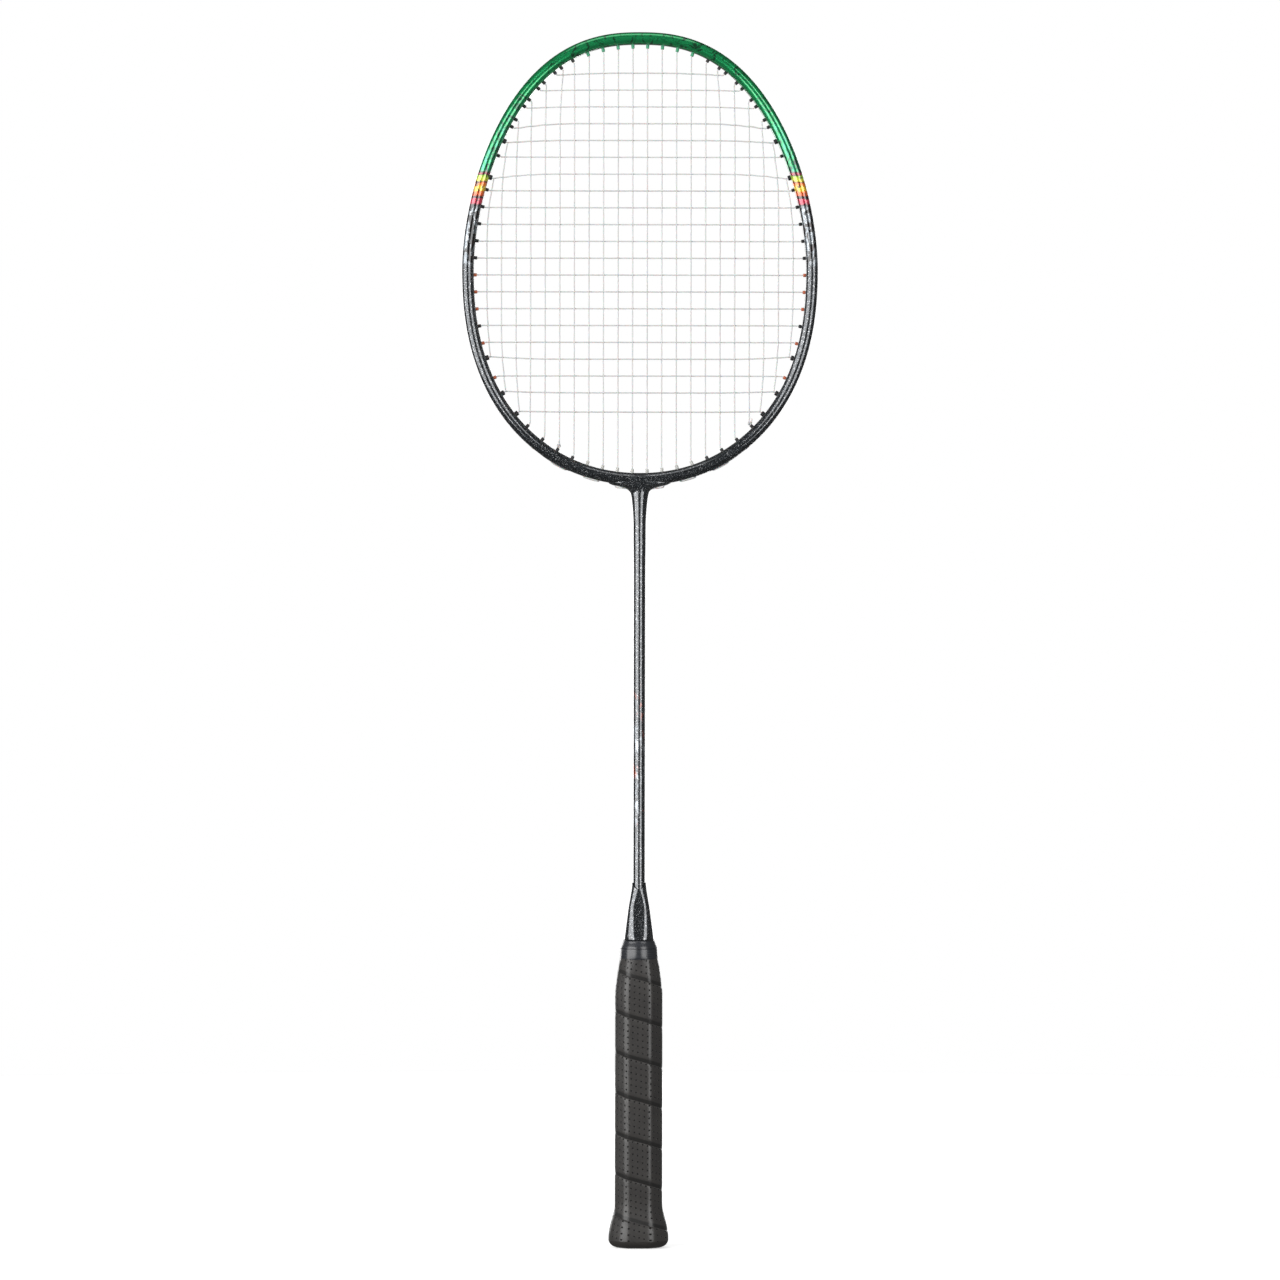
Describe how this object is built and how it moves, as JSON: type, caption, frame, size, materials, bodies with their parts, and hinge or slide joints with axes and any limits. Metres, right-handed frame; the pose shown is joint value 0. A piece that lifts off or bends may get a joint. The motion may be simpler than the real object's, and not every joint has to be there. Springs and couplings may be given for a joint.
{
  "type": "badminton racket",
  "caption": "Badminton racket with an oval hollow head, woven string bed, slim shaft, tapered cone and an octagonal wrapped grip.",
  "frame": {"origin": "centre of the butt's flat end face, on the shaft's axis", "axes": "+Z along the shaft's axis from the butt to the head's crown; the string bed lies in the XZ plane, +Y is its normal and the front looks along -Y"},
  "size_m": [0.1978, 0.0306, 0.6752],
  "materials": {
    "head_lacquer": "clear-coated metallic green over graphite",
    "graphite_lacquer": "clear-coated dark graphite with metal flake",
    "string_nylon": "satin monofilament",
    "grip_polyurethane": "matt, perforated",
    "finishing_tape": "satin",
    "core_wood": "plain",
    "cap_plastic": "satin",
    "grommet_green": "moulded",
    "grommet_amber": "moulded",
    "grommet_clear": "moulded",
    "grommet_black": "moulded"
  },
  "bodies": {
    "root": {"butt_cap": "cap_plastic", "corner_strip_left": "grommet_black", "corner_strip_right": "grommet_black", "cross_string": "string_nylon", "crown_strip_left": "grommet_green", "crown_strip_right": "grommet_green", "finishing_tape": "finishing_tape", "grip_wrap": "grip_polyurethane", "handle_cone": "graphite_lacquer", "handle_core": "core_wood", "head_frame": "head_lacquer", "lower_strip_left": "grommet_black", "lower_strip_right": "grommet_black", "main_string": "string_nylon", "shaft": "graphite_lacquer", "shoulder_strip_left": "grommet_black", "shoulder_strip_right": "grommet_black", "side_grommet_1_left": "grommet_black", "side_grommet_1_right": "grommet_black", "side_grommet_2_left": "grommet_amber", "side_grommet_2_right": "grommet_amber", "side_grommet_3_left": "grommet_amber", "side_grommet_3_right": "grommet_amber", "side_grommet_4_left": "grommet_amber", "side_grommet_4_right": "grommet_amber", "side_grommet_5_left": "grommet_black", "side_grommet_5_right": "grommet_black", "side_grommet_6_left": "grommet_amber", "side_grommet_6_right": "grommet_amber", "side_grommet_7_left": "grommet_amber", "side_grommet_7_right": "grommet_amber", "side_pair_1_left": "grommet_black", "side_pair_1_right": "grommet_black", "side_pair_2_left": "grommet_black", "side_pair_2_right": "grommet_black", "t_joint": "head_lacquer", "throat_inner_strip_left": "grommet_clear", "throat_inner_strip_right": "grommet_clear", "throat_strip_left": "grommet_black", "throat_strip_right": "grommet_black", "upper_strip_left": "grommet_black", "upper_strip_right": "grommet_black", "wide_grommet_left": "grommet_black", "wide_grommet_right": "grommet_black"}
  },
  "joints": []
}
